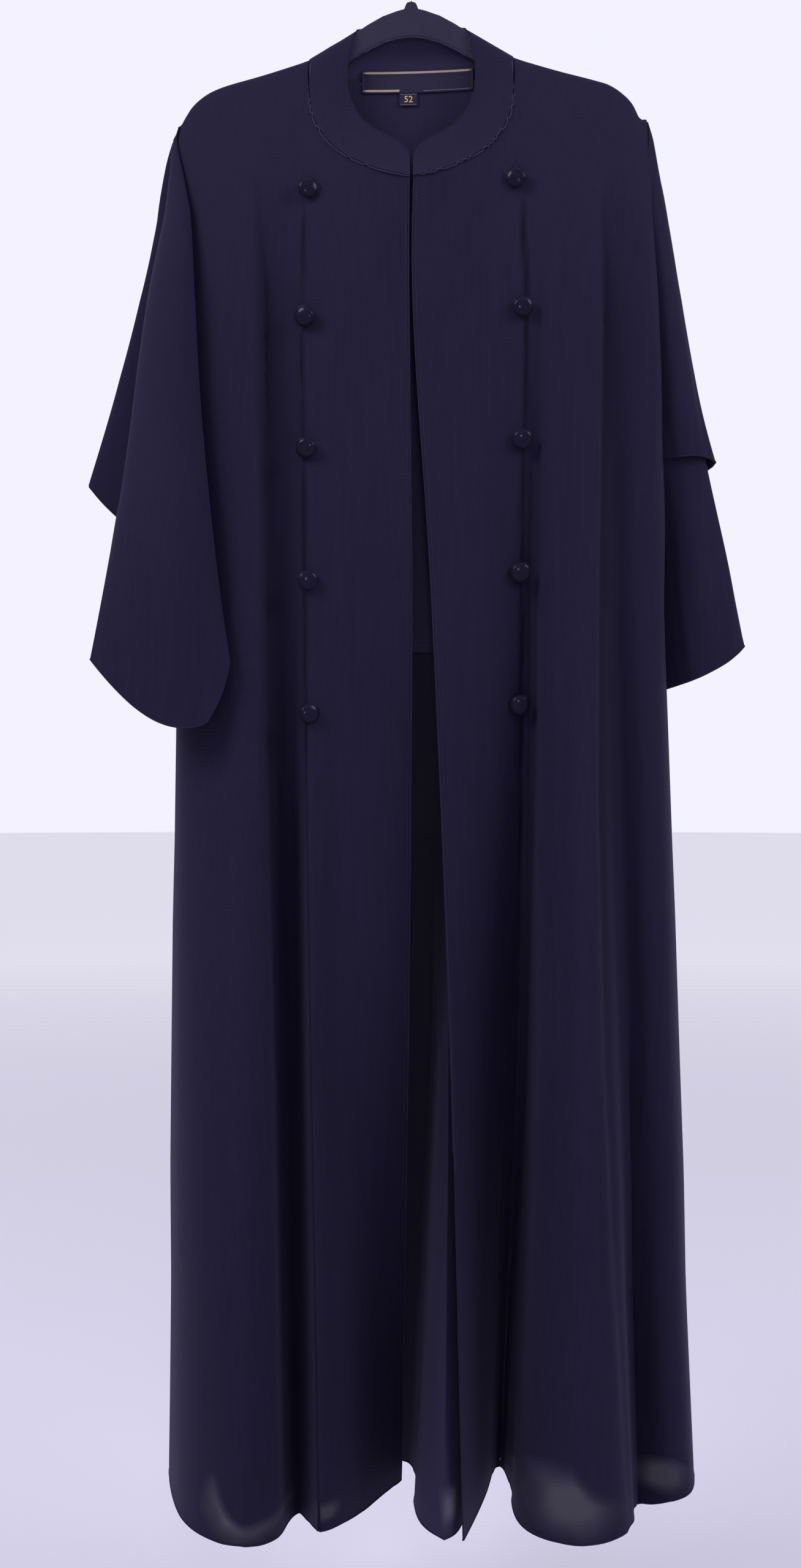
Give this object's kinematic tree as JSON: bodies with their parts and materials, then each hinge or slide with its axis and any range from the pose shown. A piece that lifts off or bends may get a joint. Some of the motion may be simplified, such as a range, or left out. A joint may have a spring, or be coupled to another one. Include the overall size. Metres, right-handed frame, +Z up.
{
  "type": "abaya cloak on a hanger",
  "caption": "Long open black cloak with a round collar band, wide tiered sleeves and dome buttons down both panel seams, hanging on a flat flocked hanger.",
  "frame": {"origin": "inside top of the hanger's hook, where the rail carries it", "axes": "+Z up along the hanging cloak, +X towards the wearer's left sleeve, -Y out of the front"},
  "size_m": [0.6065, 0.213, 1.4156],
  "materials": {
    "crepe": "matte fine black crepe with a faint violet sheen",
    "button": "glossy black domed button",
    "label": "smooth woven black label",
    "flocking": "short black flocking",
    "hook_wire": "polished wire"
  },
  "bodies": {
    "root": {"back": "crepe", "inner_back": "crepe", "front_centre_right": "crepe", "front_side_right": "crepe", "front_centre_left": "crepe", "front_side_left": "crepe", "collar": "crepe", "over_sleeve_right": "crepe", "over_sleeve_left": "crepe", "long_sleeve_right": "crepe", "long_sleeve_left": "crepe", "button_right_1": "button", "button_right_2": "button", "button_right_3": "button", "button_right_4": "button", "button_right_5": "button", "button_left_1": "button", "button_left_2": "button", "button_left_3": "button", "button_left_4": "button", "button_left_5": "button", "neck_label": "label", "size_tag": "label", "hanger": "flocking", "hanger_hook": "hook_wire"}
  },
  "joints": []
}
